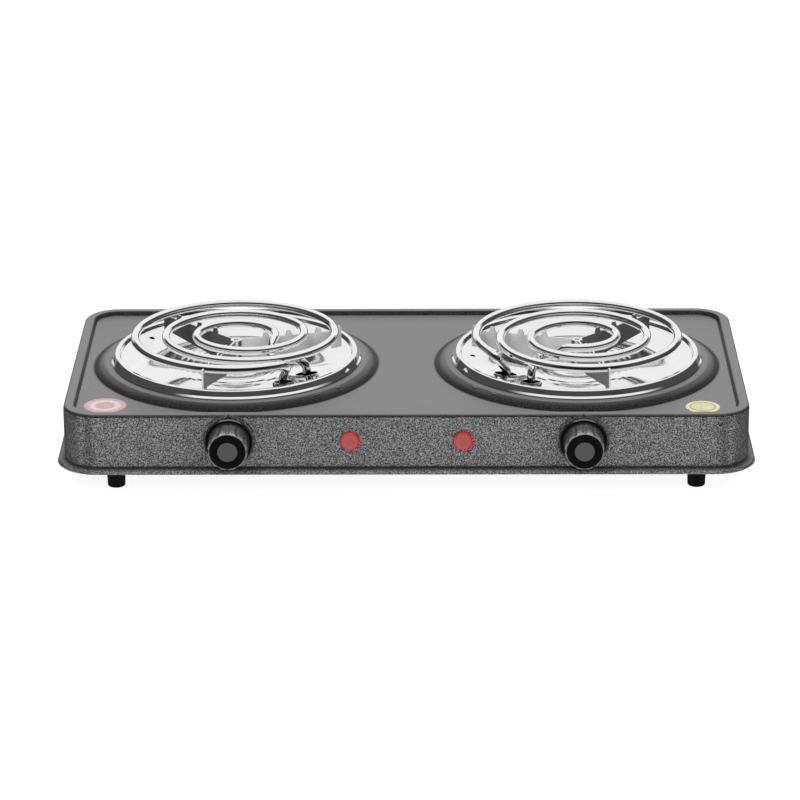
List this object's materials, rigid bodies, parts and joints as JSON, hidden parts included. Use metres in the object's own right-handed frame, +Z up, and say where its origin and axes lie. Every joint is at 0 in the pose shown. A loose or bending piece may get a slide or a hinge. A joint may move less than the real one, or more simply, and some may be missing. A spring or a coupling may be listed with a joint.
{
  "type": "hot plate",
  "caption": "Double coil hot plate with a grey hammered steel body, chromed drip pans, tubular coils, fluted control knobs and red pilot lamps.",
  "frame": {"origin": "centre of the footprint at table level", "axes": "+X to the right along the front, +Y to the back, +Z up; the knobs face -Y"},
  "size_m": [0.4902, 0.2632, 0.0794],
  "materials": {
    "hammertone_paint": "grey hammered baked paint, satin",
    "zinc_sheet": "plain zinc-coated sheet",
    "zinc_steel": "zinc-plated steel",
    "black_rubber": "matte moulded rubber",
    "pan_chrome": "bright polished chrome plate",
    "coil_steel": "bright polished steel sheath",
    "support_steel": "bright rolled strip",
    "terminal_brass": "plain brass",
    "terminal_steel": "nickel-plated steel and ceramic bead",
    "ceramic_cream": "unglazed cream ceramic",
    "knob_black": "black thermoset, satin",
    "cap_grey": "matt grey insert",
    "spring_steel": "spring steel",
    "lamp_red": "translucent red lens",
    "white_nylon": "off-white nylon",
    "black_nylon": "black nylon",
    "wire_white": "heat-proof silicone cover",
    "wire_green": "green and yellow cover"
  },
  "bodies": {
    "root": {"housing": "hammertone_paint", "base_plate": "zinc_sheet", "base_screws": "zinc_steel", "foot_front_left": "black_rubber", "foot_front_right": "black_rubber", "foot_rear_left": "black_rubber", "foot_rear_right": "black_rubber", "foot_screws": "zinc_steel", "foot_nuts": "zinc_steel", "drip_pan_left": "pan_chrome", "drip_pan_right": "pan_chrome", "coil_left": "coil_steel", "coil_right": "coil_steel", "coil_support_left": "support_steel", "coil_support_right": "support_steel", "terminal_bracket_left": "zinc_steel", "terminal_bracket_right": "zinc_steel", "bracket_nuts": "zinc_steel", "terminal_bushes_left": "terminal_brass", "terminal_bushes_right": "terminal_brass", "coil_terminals_left": "terminal_steel", "coil_terminals_right": "terminal_steel", "thermostat_left": "ceramic_cream", "thermostat_right": "ceramic_cream", "thermostat_screws": "zinc_steel", "lamp_lens_left": "lamp_red", "lamp_lens_right": "lamp_red", "lamp_body_left": "white_nylon", "lamp_body_right": "white_nylon", "lamp_clips": "zinc_steel", "blade_terminals": "terminal_brass", "terminal_block": "ceramic_cream", "block_screws": "terminal_brass", "cord_gland": "black_nylon", "earth_screw": "zinc_steel", "wiring_left": "wire_white", "wiring_right": "wire_white", "earth_lead": "wire_green"},
    "knob_left": {"knob_left": "knob_black", "knob_cap_left": "cap_grey", "knob_clip_left": "spring_steel", "spindle_left": "zinc_steel"},
    "knob_right": {"knob_right": "knob_black", "knob_cap_right": "cap_grey", "knob_clip_right": "spring_steel", "spindle_right": "zinc_steel"}
  },
  "joints": [
    {"name": "knob_left_turn", "type": "hinge", "parent": "root", "child": "knob_left", "pos_m": [-0.1232, -0.1205, 0.0393], "axis": [0, 1, 0], "range_deg": [0, 270]},
    {"name": "knob_right_turn", "type": "hinge", "parent": "root", "child": "knob_right", "pos_m": [0.1232, -0.1205, 0.0393], "axis": [0, 1, 0], "range_deg": [0, 270]}
  ]
}
